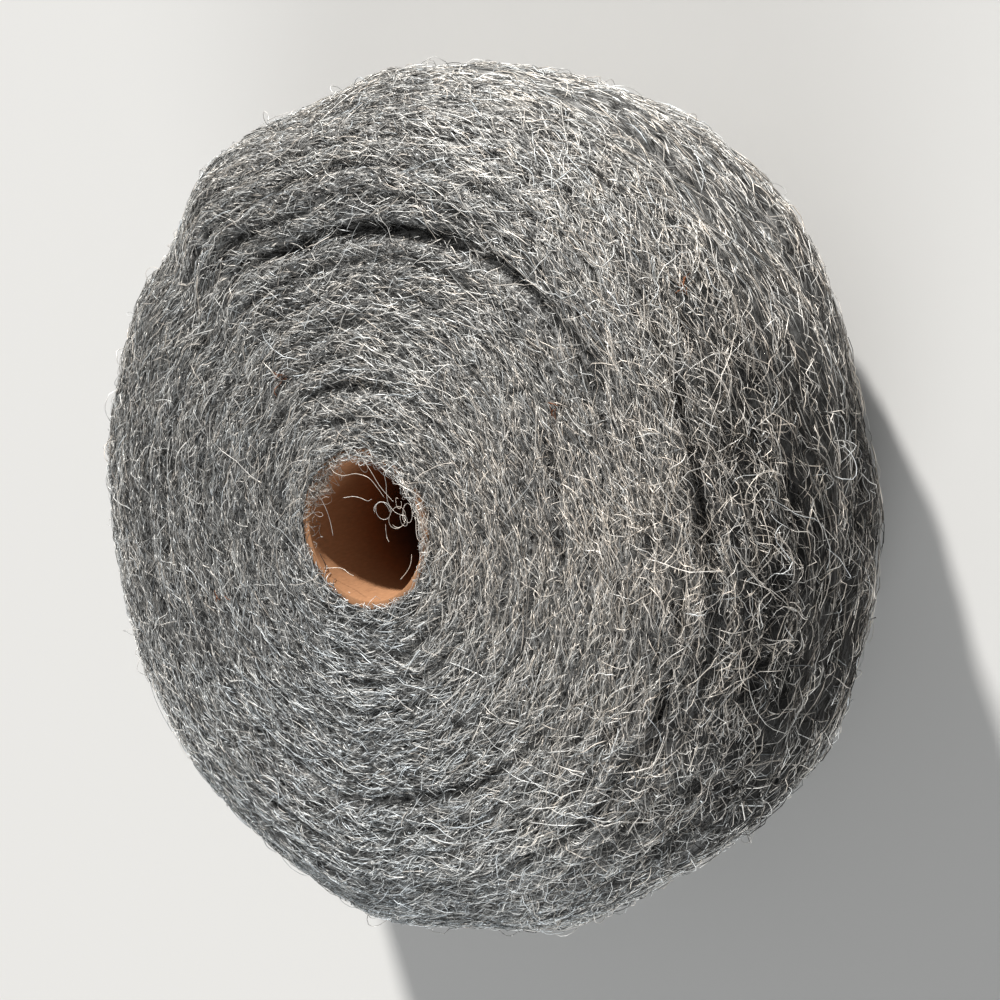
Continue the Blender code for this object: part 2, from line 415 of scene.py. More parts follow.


# The wool's roughness: how deep its locks, slits, lumps and ragged shoulder are, how rare the
# slits are and how much commoner in the open wool, and how far the painted shade patches lie in
LOCK_DEPTH = 0.0006
SLIT_DEPTH = 0.0034
SLITS_RARE = 0.42
SLITS_COMMONER = 0.36
LUMP_DEPTH = 0.0005
RAGGED_DEPTH = 0.0009
SHADE_PATCH_DEPTH = 0.004


def sunk_table():
    """How far the wool's surface lies inside the plain form, over turn and along."""
    turns = np.arange(TABLE_AROUND) / TABLE_AROUND
    alongs = np.linspace(0.0, ALONG_END, TABLE_ALONG)
    turn, along = np.meshgrid(turns, alongs, indexing="ij")
    facing = outline(turn, along)[2]
    upward = fade(np.sin(facing), 0.0, 0.5)
    side = 1.0 - fade(np.abs(np.sin(facing)), 0.2, 0.9)
    under = fade(-np.sin(facing), 0.6, 0.98)
    loose = looseness(turn, along)
    sunk = GROOVE_DEPTH * turn_grooves(turn, along) * (1 - 0.4 * under)
    sunk += upward * parted_turns(turn, along) + SHADE_PATCH_DEPTH * shade_patches(turn, along)
    coarse = side_folds(turn[::COARSE, ::COARSE], along[::COARSE, ::COARSE])
    sunk += spread_out(coarse, sunk.shape)
    locks = streaks(turn, along, *LOCKS) + 0.6 * streaks(turn, along, *FINE_LOCKS)
    sunk += LOCK_DEPTH * (1 - 0.6 * under) * locks
    slits = np.clip(-streaks(turn, along, *SLITS) - SLITS_RARE + SLITS_COMMONER * loose, 0.0, 1.0)
    sunk += SLIT_DEPTH * (1 - 0.7 * under) * (0.5 + 1.7 * loose) * slits
    lumps = streaks(turn, along, *LUMPS) + 0.5 * streaks(turn, along, *FINE_LUMPS)
    sunk += LUMP_DEPTH * side * (1 + lumps)
    ragged = streaks(turn, along, *RAGGED) + 0.5 * streaks(turn, along, *FINE_RAGGED)
    shoulder = fade(along, SIDE_START - 0.045, SIDE_START - 0.015) * (1 - side)
    sunk += RAGGED_DEPTH * (1 - under) * shoulder * ragged
    return sunk


SUNK = sunk_table()


def slow_relief(turn, along):
    """The slow unevenness of the top face, in metres."""
    radius, _, facing = outline(turn, along)
    x = radius * np.cos(math.tau * turn)
    y = radius * np.sin(math.tau * turn)
    flat = zip(x.ravel(), y.ravel())
    waves = [noise.noise(Vector((a, b, 0.0)) / RELIEF_LENGTH) for a, b in flat]
    waves = 0.5 - 0.5 * np.array(waves).reshape(np.shape(radius))
    return RELIEF_DEPTH * waves * np.clip(np.sin(facing), 0.0, 1.0) * fade(along, 0.0, LIP_END)


def sunk_at(turn, along):
    """The table read between its points."""
    x = (turn % 1.0) * TABLE_AROUND
    y = np.clip(along / ALONG_END, 0, 1) * (TABLE_ALONG - 1)
    i = np.floor(x).astype(int)
    j = np.minimum(np.floor(y).astype(int), TABLE_ALONG - 2)
    return between(SUNK, i % TABLE_AROUND, j, x - i, y - j)


def wool_place(turn, along, lift, settled=1.0):
    """Points on the wool, lifted outward by some metres, and the outward directions there.

    settled is how far they follow the hollows: 1 all the way, 0 straight across.
    """
    radius, height, facing = outline(turn, along)
    outward = lift - settled * sunk_at(turn, along) - slow_relief(turn, along)
    radius = radius + outward * np.cos(facing)
    height = height + outward * np.sin(facing)
    cosine = np.cos(math.tau * turn)
    sine = np.sin(math.tau * turn)
    places = np.stack([radius * cosine, radius * sine, height], -1)
    normals = np.stack([np.cos(facing) * cosine, np.cos(facing) * sine, np.sin(facing)], -1)
    return places, normals


def node_links(material):
    """A material's nodes, its links and its shader."""
    material.use_nodes = True
    tree = material.node_tree
    return tree.nodes, tree.links, tree.nodes["Principled BSDF"]


def ramp(nodes, stops):
    """A colour ramp with these (place, colour) stops."""
    node = nodes.new("ShaderNodeValToRGB")
    while len(node.color_ramp.elements) < len(stops):
        node.color_ramp.elements.new(0.5)
    for element, (place, colour) in zip(node.color_ramp.elements, stops):
        element.position = place
        element.color = (*colour, 1.0)
    return node


def noise_node(nodes, scale, detail, roughness=0.55):
    """A noise texture."""
    node = nodes.new("ShaderNodeTexNoise")
    node.inputs["Scale"].default_value = scale
    node.inputs["Detail"].default_value = detail
    node.inputs["Roughness"].default_value = roughness
    return node


def map_node(nodes, links, source, scale):
    """The source coordinate, scaled."""
    node = nodes.new("ShaderNodeMapping")
    node.inputs["Scale"].default_value = scale
    links.new(source, node.inputs["Vector"])
    return node.outputs["Vector"]


def own_map(nodes):
    """The place on a piece's own map."""
    node = nodes.new("ShaderNodeUVMap")
    node.uv_map = "OFBake"
    return node.outputs["UV"]


def split_up(nodes, links, source):
    """The source's coordinates, one by one."""
    node = nodes.new("ShaderNodeSeparateXYZ")
    links.new(source, node.inputs["Vector"])
    return node.outputs


def math_node(nodes, links, operation, first, second=0.0):
    """One operation on two values, each a socket or a number."""
    node = nodes.new("ShaderNodeMath")
    node.operation = operation
    for socket, value in zip(node.inputs, (first, second)):
        if isinstance(value, (int, float)):
            socket.default_value = value
        else:
            links.new(value, socket)
    return node.outputs["Value"]


def multiplied(nodes, links, first, second):
    """Two colours multiplied."""
    node = nodes.new("ShaderNodeMix")
    node.data_type = "RGBA"
    node.blend_type = "MULTIPLY"
    node.inputs["Factor"].default_value = 1.0
    links.new(first, node.inputs["A"])
    links.new(second, node.inputs["B"])
    return node.outputs["Result"]


def map_range(nodes, links, value, start, end, low=0.0, high=1.0, smooth=False):
    """The value, scaled so that start gives low and end gives high, and held past them."""
    node = nodes.new("ShaderNodeMapRange")
    if smooth:
        node.interpolation_type = "SMOOTHSTEP"
    node.inputs["From Min"].default_value = start
    node.inputs["From Max"].default_value = end
    node.inputs["To Min"].default_value = low
    node.inputs["To Max"].default_value = high
    links.new(value, node.inputs["Value"])
    return node.outputs["Result"]


def add_bump(nodes, links, shader, height, strength, distance):
    """Fine roughness on the shader, from a height."""
    node = nodes.new("ShaderNodeBump")
    node.inputs["Strength"].default_value = strength
    node.inputs["Distance"].default_value = distance
    links.new(height, node.inputs["Height"])
    links.new(node.outputs["Normal"], shader.inputs["Normal"])


# Above this height on the strands' map, a strand is rusty
RUST_START = 0.97


def strand_steel():
    """Bright steel strands, whose map holds a strand's own tone across and its warmth up."""
    material = bpy.data.materials.new("steel_strands")
    nodes, links, shader = node_links(material)
    tone, warmth = split_up(nodes, links, own_map(nodes))[:2]
    tones = ramp(
        nodes,
        [
            (0.0, (0.05, 0.05, 0.05)),
            (0.30, (0.34, 0.34, 0.335)),
            (0.60, (0.72, 0.72, 0.71)),
            (0.85, (0.91, 0.905, 0.89)),
            (1.0, (0.97, 0.965, 0.95)),
        ],
    )
    links.new(tone, tones.inputs["Fac"])
    tints = ramp(
        nodes,
        [(0.05, (0.90, 0.97, 1.03)), (0.45, (1.0, 1.0, 0.985)), (0.92, (1.09, 0.99, 0.89))],
    )
    links.new(warmth, tints.inputs["Fac"])
    clean = multiplied(nodes, links, tones.outputs["Color"], tints.outputs["Color"])
    rusty = math_node(nodes, links, "GREATER_THAN", warmth, RUST_START)
    rust = nodes.new("ShaderNodeMix")
    rust.data_type = "RGBA"
    rust.inputs["B"].default_value = (0.24, 0.085, 0.030, 1.0)
    links.new(rusty, rust.inputs["Factor"])
    links.new(clean, rust.inputs["A"])
    links.new(rust.outputs["Result"], shader.inputs["Base Color"])
    shader.inputs["Metallic"].default_value = 0.42
    shader.inputs["Roughness"].default_value = 0.46
    return material


def fibre_lines(nodes, links, place, scale, lean, thickness):
    """A mask of thin wavy lines, 1 on them: the middle contours of a stretched noise."""
    turned = nodes.new("ShaderNodeMapping")
    turned.inputs["Rotation"].default_value = (0.0, 0.0, lean)
    turned.inputs["Location"].default_value = (3.7 * lean, 1.3 * lean, 0.0)
    links.new(place, turned.inputs["Vector"])
    waves = noise_node(nodes, 1.0, 1.5, 0.6)
    links.new(map_node(nodes, links, turned.outputs["Vector"], (*scale, 1.0)), waves.inputs["Vector"])
    off = math_node(nodes, links, "SUBTRACT", waves.outputs["Fac"], 0.5)
    away = math_node(nodes, links, "ABSOLUTE", off)
    return map_range(nodes, links, away, 0.0, thickness, 1.0, 0.0)


def open_wool(nodes, links, place):
    """1 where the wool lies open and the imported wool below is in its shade, from the map."""
    turn, along = split_up(nodes, links, place)[:2]
    away = math_node(nodes, links, "SUBTRACT", turn, LOOSE_TURN)
    away = math_node(nodes, links, "DIVIDE", away, LOOSE_SPREAD)
    away = math_node(nodes, links, "MULTIPLY", away, away)
    near = math_node(nodes, links, "POWER", math.e, math_node(nodes, links, "MULTIPLY", away, -1.0))
    for start, end in ((OPEN_START, OPEN_FULL), (LOOSE_END, SIDE_END)):
        low, high = (0.0, 1.0) if start < end else (1.0, 0.0)
        first = min(start, end) / ALONG_END
        last = max(start, end) / ALONG_END
        down = map_range(nodes, links, along, first, last, low, high, smooth=True)
        near = math_node(nodes, links, "MULTIPLY", near, down)
    return near


def packed_steel():
    """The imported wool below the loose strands: crossing fibres that run mostly with the winding."""
    material = bpy.data.materials.new("packed_steel_wool")
    nodes, links, shader = node_links(material)
    flat = own_map(nodes)
    place = map_node(nodes, links, flat, (0.8, ALONG_END, 1.0))
    fibres = 0.0
    for scale, lean, thickness in (
        ((80.0, 700.0), 0.03, 0.110),
        ((110.0, 560.0), 0.24, 0.085),
        ((110.0, 600.0), -0.22, 0.085),
        ((170.0, 420.0), -0.60, 0.050),
    ):
        line = fibre_lines(nodes, links, place, scale, lean, thickness)
        fibres = math_node(nodes, links, "MAXIMUM", fibres, line)
    mottle = noise_node(nodes, 260.0, 3.0)
    links.new(place, mottle.inputs["Vector"])
    strength = math_node(nodes, links, "MULTIPLY", fibres, mottle.outputs["Fac"])
    # Painted shade: the wool below is darker where the open wool lies over it
    shut = math_node(nodes, links, "MULTIPLY", open_wool(nodes, links, flat), -0.78)
    strength = math_node(nodes, links, "MULTIPLY", strength, math_node(nodes, links, "ADD", shut, 1.0))
    tones = ramp(
        nodes,
        [
            (0.0, (0.010, 0.0092, 0.0084)),
            (0.22, (0.060, 0.060, 0.059)),
            (0.45, (0.24, 0.24, 0.235)),
            (0.65, (0.50, 0.50, 0.49)),
        ],
    )
    links.new(strength, tones.inputs["Fac"])
    links.new(tones.outputs["Color"], shader.inputs["Base Color"])
    add_bump(nodes, links, shader, strength, 0.8, 0.0005)
    shader.inputs["Metallic"].default_value = 0.45
    shader.inputs["Roughness"].default_value = 0.5
    return material


# Painted shade inside the tube: how far down the card keeps its own colour, and from where it is painted
# darkest
UNSHADED_DEPTH = 0.010
FULL_SHADE_DEPTH = 0.050


def kraft():
    """Brown kraft card with a fine grain, painted darker and redder down inside the tube as shade."""
    material = bpy.data.materials.new("kraft_card")
    nodes, links, shader = node_links(material)
    place = nodes.new("ShaderNodeTexCoord").outputs["Object"]
    grain = noise_node(nodes, 1500.0, 4.0)
    links.new(map_node(nodes, links, place, (1.0, 1.0, 0.30)), grain.inputs["Vector"])
    colours = ramp(
        nodes,
        [(0.30, (0.335, 0.178, 0.093)), (0.55, (0.38, 0.203, 0.106)), (0.75, (0.43, 0.233, 0.127))],
    )
    links.new(grain.outputs["Fac"], colours.inputs["Fac"])
    height = split_up(nodes, links, place)["Z"]
    down = map_range(nodes, links, height, TUBE_TOP - FULL_SHADE_DEPTH, TUBE_TOP - UNSHADED_DEPTH, smooth=True)
    # Painted shade: darker with depth in the tube, and redder part way down as painted bounced light
    depths = ramp(
        nodes,
        [(0.0, (0.12, 0.075, 0.055)), (0.7, (0.92, 0.62, 0.42)), (1.0, (1.0, 0.93, 0.84))],
    )
    links.new(down, depths.inputs["Fac"])
    shaded_card = multiplied(nodes, links, colours.outputs["Color"], depths.outputs["Color"])
    links.new(shaded_card, shader.inputs["Base Color"])
    add_bump(nodes, links, shader, grain.outputs["Fac"], 0.2, 0.00005)
    shader.inputs["Roughness"].default_value = 0.8
    return material


def mesh_object(name, places, triangles, corner_map, material):
    """An object from arrays of places, triangles and each corner's place on its own map."""
    mesh = bpy.data.meshes.new(name)
    mesh.vertices.add(len(places))
    mesh.vertices.foreach_set("co", places.astype(np.float32).ravel())
    mesh.loops.add(3 * len(triangles))
    mesh.loops.foreach_set("vertex_index", triangles.astype(np.int32).ravel())
    mesh.polygons.add(len(triangles))
    mesh.polygons.foreach_set("loop_start", np.arange(0, 3 * len(triangles), 3, dtype=np.int32))
    layer = mesh.uv_layers.new(name="OFBake")
    layer.uv.foreach_set("vector", corner_map.astype(np.float32).ravel())
    mesh.update(calc_edges=True)
    mesh.validate()
    mesh.materials.append(material)
    made = bpy.data.objects.new(name, mesh)
    bpy.context.collection.objects.link(made)
    return made


def strand_triangles(points):
    """The triangles of one tapered strand with this many points, outward, by vertex number."""
    rings = points - 2
    faces = []
    for side in range(STRAND_SIDES):
        after = (side + 1) % STRAND_SIDES
        faces.append((0, 1 + after, 1 + side))
        for ring in range(rings - 1):
            low = 1 + STRAND_SIDES * ring
            high = low + STRAND_SIDES
            faces.append((low + side, low + after, high + after))
            faces.append((low + side, high + after, high + side))
        last = 1 + STRAND_SIDES * (rings - 1)
        faces.append((last + side, last + after, 1 + STRAND_SIDES * rings))
    return np.array(faces)


# The strands' map: across it a strand's tone, with a small step from side to side, and up it
# its warmth, with a small step from end to end
TONE_START = 0.01
TONE_SPAN = 0.97
TONE_STEP = 0.006
WARMTH_MIDDLE = 0.47
WARMTH_BY_PLACE = 0.25
WARMTH_SPREAD = 0.18
WARMTH_STEP = 0.03
RUSTY_STEP = 0.01
MOST_WARMTH = RUST_START - 0.04
RUSTY_WARMTH = RUST_START + 0.012


def strand_object(name, lines, normals, widths, tones, rng, material, warmth=0.0, rusty=None):
    """Many tapered three-sided strands as one object. lines holds each strand's points."""
    count, points = lines.shape[:2]
    ahead = np.gradient(lines, axis=1)
    ahead /= np.linalg.norm(ahead, axis=2, keepdims=True)
    side = np.cross(normals, ahead)
    side /= np.maximum(np.linalg.norm(side, axis=2, keepdims=True), 1e-9)
    up = np.cross(ahead, side)
    roll = rng.uniform(0, math.tau, (count, 1)) + rng.normal(0, 0.8, (count, 1)) * np.arange(points)
    rings = []
    for corner in range(STRAND_SIDES):
        angle = (roll + math.tau * corner / STRAND_SIDES)[:, 1:-1, None]
        around = np.cos(angle) * side[:, 1:-1] + np.sin(angle) * up[:, 1:-1]
        rings.append(lines[:, 1:-1] + 0.5 * widths[:, None, None] * around)
    rings = np.stack(rings, 2).reshape(count, -1, 3)
    places = np.concatenate([lines[:, :1], rings, lines[:, -1:]], 1)
    each = places.shape[1]
    faces = strand_triangles(points)
    triangles = (faces[None] + each * np.arange(count)[:, None, None]).reshape(-1, 3)
    row = np.concatenate([[0], np.repeat(np.arange(1, points - 1), STRAND_SIDES), [points - 1]])
    column = np.concatenate([[1], np.tile(np.arange(STRAND_SIDES), points - 2), [1]])
    warm = rng.normal(WARMTH_MIDDLE + WARMTH_BY_PLACE * warmth, WARMTH_SPREAD, count)
    warm = np.clip(warm, 0.0, MOST_WARMTH)
    if rusty is not None:
        warm[rusty] = RUSTY_WARMTH
    step = np.where(warm > RUST_START, RUSTY_STEP, WARMTH_STEP)
    u = TONE_START + TONE_SPAN * tones[:, None] + TONE_STEP * (column[None] / 2.0 - 0.5)
    v = warm[:, None] + step[:, None] * row[None] / (points - 1)
    corner_map = np.stack([u, v], -1)[:, faces].reshape(-1, 2)
    return mesh_object(name, places.reshape(-1, 3), triangles, corner_map, material)


def walk(rng, turn, along, length, points, heading, bend, wave, wavelength, lift, arch, settled=None):
    """Strand lines that wander over the wool from where they start, and the outward directions.

    heading is off the winding, bend is how far it turns in all, and wave how far it swings.
    lift is how far they lie off the wool, and arch how much further in their middle.
    """
    count = len(turn)
    step = length / (points - 1)
    phase = rng.uniform(0, math.tau, count)
    turns = [turn]
    alongs = [along]
    for k in range(1, points):
        share = k / (points - 1)
        swing = wave * np.sin(phase + math.tau * share * length / wavelength)
        angle = heading + bend * (share - 0.5) + swing
        radius = np.maximum(outline(turns[-1], alongs[-1])[0], WOOL_INNER)
        turns.append(turns[-1] + step * np.cos(angle) / (math.tau * radius))
        alongs.append(np.clip(alongs[-1] + step * np.sin(angle), 0.0, ALONG_END))
    share = np.linspace(0, 1, points)
    rise = lift[:, None] + arch[:, None] * np.sin(math.pi * share[None])
    settled = np.ones((count, 1)) if settled is None else settled[:, None]
    return wool_place(np.stack(turns, 1), np.stack(alongs, 1), rise, settled)


def scatter(rng, count, start, end):
    """Random places, even by area, with along between start and end."""
    turn = rng.random(count * 3)
    along = rng.uniform(start, end, count * 3)
    keep = rng.random(count * 3) < outline(turn, along)[0] / (MEAN_RADIUS * 1.05)
    return turn[keep][:count], along[keep][:count]


# A layer raised more than this is a high one
HIGH_STRANDS = 0.0004

# A strand's brightness: how much darker it is painted, as shade, for each metre that it lies in,
# down to a depth, and as shade in the open wool, low down and high up; the painted shaded and
# lit patches; the share of the high strands in the open wool painted as catching the light, how
# much brighter those are painted and the others darker; and the spread from lock to lock and from
# strand to strand. A reach is where along the section one of them starts, and where it is full
SHADE_BY_DEPTH = 100.0
DEEPEST_SHADED = 0.0035
OPEN_SHADE_LOW = 0.52
OPEN_SHADE_HIGH = 0.04
OPEN_SHADE_REACH = (0.080, 0.115)
SHADED_TURNS_DARKER = 0.17
LIT_TURNS_LIFT = 0.19
LIT_TURNS_REACH = (0.055, 0.085)
LIT_SHARE = 0.40
LIT_LIFT = 0.46
UNLIT_LIFT = -0.20
LIT_REACH = (0.070, 0.105)
LOCK_TONES = 0.24
STRAND_TONES = 0.27


def strand_tones(rng, turn, along, loose, sunk, tone, high):
    """Each strand's brightness, from 0 to 1, with shade and light painted in. sunk is how far it lies in.
    """
    count = len(turn)
    darker = (OPEN_SHADE_HIGH if high else OPEN_SHADE_LOW) * loose * fade(along, *OPEN_SHADE_REACH)
    darker += SHADE_BY_DEPTH * np.clip(sunk, 0, DEEPEST_SHADED)
    darker += SHADED_TURNS_DARKER * peak(turn, *SHADED_TURNS) + shade_patches(turn, along)
    brighter = LIT_TURNS_LIFT * peak(turn, *LIT_TURNS) * fade(along, *LIT_TURNS_REACH)
    lit = np.where(rng.random(count) < LIT_SHARE, LIT_LIFT, UNLIT_LIFT)
    if high:
        brighter += lit * loose * fade(along, *LIT_REACH)
    tones = tone + LOCK_TONES * streaks(turn, along, *LOCKS) + rng.normal(0, STRAND_TONES, count)
    return np.clip(tones - darker + brighter, 0.0, 1.0)


# The share of a layer's strands that the open wool lacks where spread is -1, and that the
# packed wool lacks where it is 1
FEWER_OPEN = 0.55
FEWER_PACKED = 0.92

# How a strand lies: how far its neighbours drift off the winding together, the spread of its
# length, bend, swing, arch and width, and the ranges of its wavelength and lift
DRIFT_ANGLE = 0.16
LENGTH_SPREAD = 0.38
BEND_SPREAD = 0.8
SWING_SPREAD = 0.32
ARCH_SPREAD = 0.0006
WIDTH_SPREAD = 0.25
WAVELENGTHS = (0.004, 0.010)
LIFTS = (-0.0003, 0.0004)

# With fewer points than this, a strand can't carry a full wave
WAVY_POINTS = 5


def strand_layer(
    name, seed, count, span, length, width, points, stray, raised, spread, bridging, tone, material
):
    """One object of loose strands over part of the wool.

    stray is how far they turn off the winding. spread says where they lie: 1 only where the
    wool is loose, 0 everywhere, -1 fewer where it is loose. bridging is the share of them
    that cross the hollows instead of following them, and tone their mean brightness.
    """
    rng = np.random.default_rng(seed)
    turn, along = scatter(rng, 2 * count, *span)
    loose = looseness(turn, along)
    if spread < 0:
        chance = 1 - FEWER_OPEN * loose
    else:
        chance = 1 - spread * (FEWER_PACKED - FEWER_PACKED * loose)
    kept = np.flatnonzero(rng.random(len(turn)) < 0.98 * chance)[:count]
    turn = turn[kept]
    along = along[kept]
    loose = loose[kept]
    count = len(turn)
    size = length * (0.75 + 0.4 * loose) * np.exp(rng.normal(0, LENGTH_SPREAD, count))
    drift = DRIFT_ANGLE * streaks(turn, along, *DRIFT)
    heading = drift + rng.normal(0, 1, count) * stray * (1.0 + 0.2 * loose)
    heading += math.pi * rng.integers(0, 2, count)
    bend = rng.normal(0, BEND_SPREAD, count) * (0.6 + 1.2 * loose)
    wave = np.abs(rng.normal(0, SWING_SPREAD, count)) * (0.6 + 0.6 * loose)
    if points < WAVY_POINTS:
        wave = 0.4 * wave
    wavelength = rng.uniform(*WAVELENGTHS, count)
    lift = raised + rng.uniform(*LIFTS, count)
    arch = np.abs(rng.normal(0, ARCH_SPREAD, count)) * (0.6 + 1.0 * loose)
    settled = 1.0 - rng.random(count) * (rng.random(count) < bridging)
    lines, normals = walk(
        rng, turn, along, size, points, heading, bend, wave, wavelength, lift, arch, settled
    )
    lines[:, :, 2] = np.maximum(lines[:, :, 2], OFF_FLOOR)
    widths = width * np.exp(rng.normal(0, WIDTH_SPREAD, count))
    sunk = settled * sunk_at(turn, along)
    tones = strand_tones(rng, turn, along, loose, sunk, tone, raised > HIGH_STRANDS)
    warmth = peak(turn, *WARM) - peak(turn, *COOL)
    return strand_object(name, lines, normals, widths, tones, rng, material, warmth)


def edge_loops(material):
    """Long bent strands that stand off the shoulder and the side."""
    rng = np.random.default_rng(403)
    count = 620
    turn, along = scatter(rng, count, SIDE_START - 0.035, SIDE_END + 0.004)
    count = len(turn)
    heading = rng.normal(0, 0.7, count) + math.pi * rng.integers(0, 2, count)
    bend = rng.normal(0, 1.8, count)
    wave = rng.uniform(0.1, 0.7, count)
    length = rng.uniform(0.006, 0.016, count)
    arch = 0.0008 + np.abs(rng.normal(0, 0.0016, count))
    lines, normals = walk(
        rng, turn, along, length, 9, heading, bend, wave, length, np.zeros(count), arch
    )
    widths = rng.uniform(0.00016, 0.00026, count)
    tones = rng.uniform(0.45, 1.0, count)
    return strand_object("edge_loops", lines, normals, widths, tones, rng, material)


# Where a few strands have rusted: place across the roll in millimetres, and how many
RUST_SPOTS = (((43.0, 24.0), 9), ((76.0, -131.0), 8), ((-20.0, 60.0), 4), ((30.0, -70.0), 4))


def rust_flecks(material):
    """Short rusty strands in a few small clumps on the top face."""
    rng = np.random.default_rng(404)
    spots, counts = zip(*RUST_SPOTS)
    places = np.repeat(spots, counts, 0)
    places = places * MILLIMETRE + rng.normal(0, 0.0012, places.shape)
    radius = np.minimum(np.hypot(places[:, 0], places[:, 1]), MEAN_RADIUS - 0.008)
    turn = np.arctan2(places[:, 1], places[:, 0]) / math.tau
    down = np.linspace(LIP_END, SIDE_START, 400)
    along = np.interp(radius, outline(0 * down, down)[0], down)
    count = len(turn)
    heading = rng.normal(0, 0.6, count)
    length = rng.uniform(0.002, 0.005, count)
    wave = np.zeros(count)
    lift = np.full(count, 0.0008)
    lines, normals = walk(
        rng, turn, along, length, 6, heading, heading, wave, length, lift, 0.1 * length
    )
    widths = rng.uniform(0.00020, 0.00034, count)
    tones = np.full(count, 0.6)
    rusty = np.ones(count, bool)
    return strand_object("rust_flecks", lines, normals, widths, tones, rng, material, 0.0, rusty)


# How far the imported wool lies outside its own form, and how far it keeps off the floor
PACKED_LIFT = -0.0004
PACKED_OFF_FLOOR = 0.0006


def wool_base(material):
    """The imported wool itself, a grid wrapped round the section and closed on itself."""
    bpy.ops.mesh.primitive_grid_add(x_subdivisions=BASE_AROUND, y_subdivisions=BASE_ALONG, size=2)
    base = bpy.context.object
    base.name = "packed_wool"
    mesh = base.data
    places = np.empty(3 * len(mesh.vertices))
    mesh.vertices.foreach_get("co", places)
    places = places.reshape(-1, 3)
    turn = (places[:, 0] + 1) / 2
    share = (places[:, 1] + 1) / 2
    along = share * ALONG_END
    shaped = wool_place(turn, along, np.full(len(turn), PACKED_LIFT))[0]
    shaped[:, 2] = np.maximum(shaped[:, 2], PACKED_OFF_FLOOR)
    mesh.vertices.foreach_set("co", shaped.ravel())
    corners = np.empty(len(mesh.loops), np.int32)
    mesh.loops.foreach_get("vertex_index", corners)
    layer = mesh.uv_layers[0]
    layer.name = "OFBake"
    layer.uv.foreach_set("vector", np.stack([turn, share], 1)[corners].astype(np.float32).ravel())
    bpy.ops.object.mode_set(mode="EDIT")
    bpy.ops.mesh.select_mode(type="EDGE")
    bpy.ops.mesh.select_all(action="SELECT")
    bpy.ops.mesh.remove_doubles(threshold=0.000001)
    bpy.ops.mesh.select_all(action="DESELECT")
    bpy.ops.mesh.select_non_manifold()
    bpy.ops.mesh.bridge_edge_loops()
    bpy.ops.mesh.select_all(action="SELECT")
    bpy.ops.mesh.normals_make_consistent(inside=False)
    bpy.ops.object.mode_set(mode="OBJECT")
    mesh.shade_smooth()
    mesh.materials.clear()
    mesh.materials.append(material)
    return base


# How far the tube's cut edges are rounded
CARD_EDGE = 0.0004


def card_tube(material):
    """The card tube: a thin cylinder thickened inwards, with its cut edges softened."""
    middle = (TUBE_TOP + TUBE_BOTTOM) / 2
    bpy.ops.mesh.primitive_cylinder_add(
        vertices=144,
        radius=TUBE_RADIUS,
        depth=TUBE_TOP - TUBE_BOTTOM,
        end_fill_type="NOTHING",
        location=(0, 0, middle),
    )
    tube = bpy.context.object
    tube.name = "card_tube"
    bpy.ops.object.transform_apply(location=True, rotation=True, scale=True)
    for vertex in tube.data.vertices:
        if vertex.co.z > middle:
            vertex.co.z += TUBE_RISE
    wall = tube.modifiers.new("wall", "SOLIDIFY")
    wall.thickness = TUBE_WALL
    wall.offset = -1.0
    bpy.ops.object.modifier_apply(modifier="wall")
    edges = tube.modifiers.new("edges", "BEVEL")
    edges.width = CARD_EDGE
    edges.segments = 2
    edges.limit_method = "ANGLE"
    bpy.ops.object.modifier_apply(modifier="edges")
    bpy.ops.object.shade_smooth_by_angle(angle=math.radians(40))
    tube.data.materials.append(material)
    return tube


# Hairs that hang over the tube's mouth: points across the roll, in millimetres, and how far
# the hair's middle lies below the top face
MOUTH_HAIRS = (
    (((19.9, 8.8), (17.0, 7.2), (15.8, 4.0), (16.2, -1.7), (15.0, -6.0), (12.1, -8.6), (9.4, -10.4)), -1.4),
    (((21.7, -2.9), (16.8, -6.9), (12.4, -9.8), (8.1, -13.6)), -1.2),
    (((16.5, -9.5), (13.0, -9.6), (10.6, -9.2), (7.6, -9.4), (5.2, -11.6), (4.0, -15.6)), 2.0),
    (((10.9, 15.6), (8.1, 14.3), (2.4, 12.2), (-1.8, 11.0)), 1.5),
    (((9.1, 6.4), (9.3, 3.1), (8.8, 0.7), (8.1, -1.8), (8.8, -4.4)), 2.5),
    (((-11.3, 15.6), (-11.7, 10.5), (-12.9, 8.1), (-13.3, 5.2)), 3.0),
    (((-6.5, -17.0), (-10.8, -14.6), (-13.8, -12.1)), 2.0),
    (((1.7, -8.0), (-0.6, -6.4), (-2.6, -6.9), (-3.4, -8.7)), 3.5),
)

# The curled clump: centre across the roll and radius in millimetres, and turns
MOUTH_CURLS = (
    ((5.3, -6.8), 2.5, 1.6),
    ((3.4, -11.9), 2.7, 1.3),
    ((4.6, -15.6), 2.4, 1.4),
    ((2.6, -13.9), 1.6, 1.1),
    ((7.4, -12.6), 1.5, 0.9),
)
HAIR_POINTS = 32
HAIR_WIDTH = 0.00016
UPWARD = np.array((0.0, 0.0, 1.0))


def smooth_line(places, count):
    """count points on a smooth curve through these places."""
    places = np.array(places, float)
    knots = np.concatenate([[0], np.cumsum(np.linalg.norm(np.diff(places, axis=0), axis=1))])
    tangents = np.gradient(places, knots, axis=0)
    at = np.linspace(0, knots[-1], count)
    i = np.clip(np.searchsorted(knots, at, side="right") - 1, 0, len(knots) - 2)
    span = (knots[i + 1] - knots[i])[:, None]
    t = (at[:, None] - knots[i][:, None]) / span
    start = places[i] * (1 + 2 * t) * (1 - t) ** 2 + tangents[i] * span * t * (1 - t) ** 2
    end = places[i + 1] * (3 - 2 * t) * t**2 + tangents[i + 1] * span * (t - 1) * t**2
    return start + end


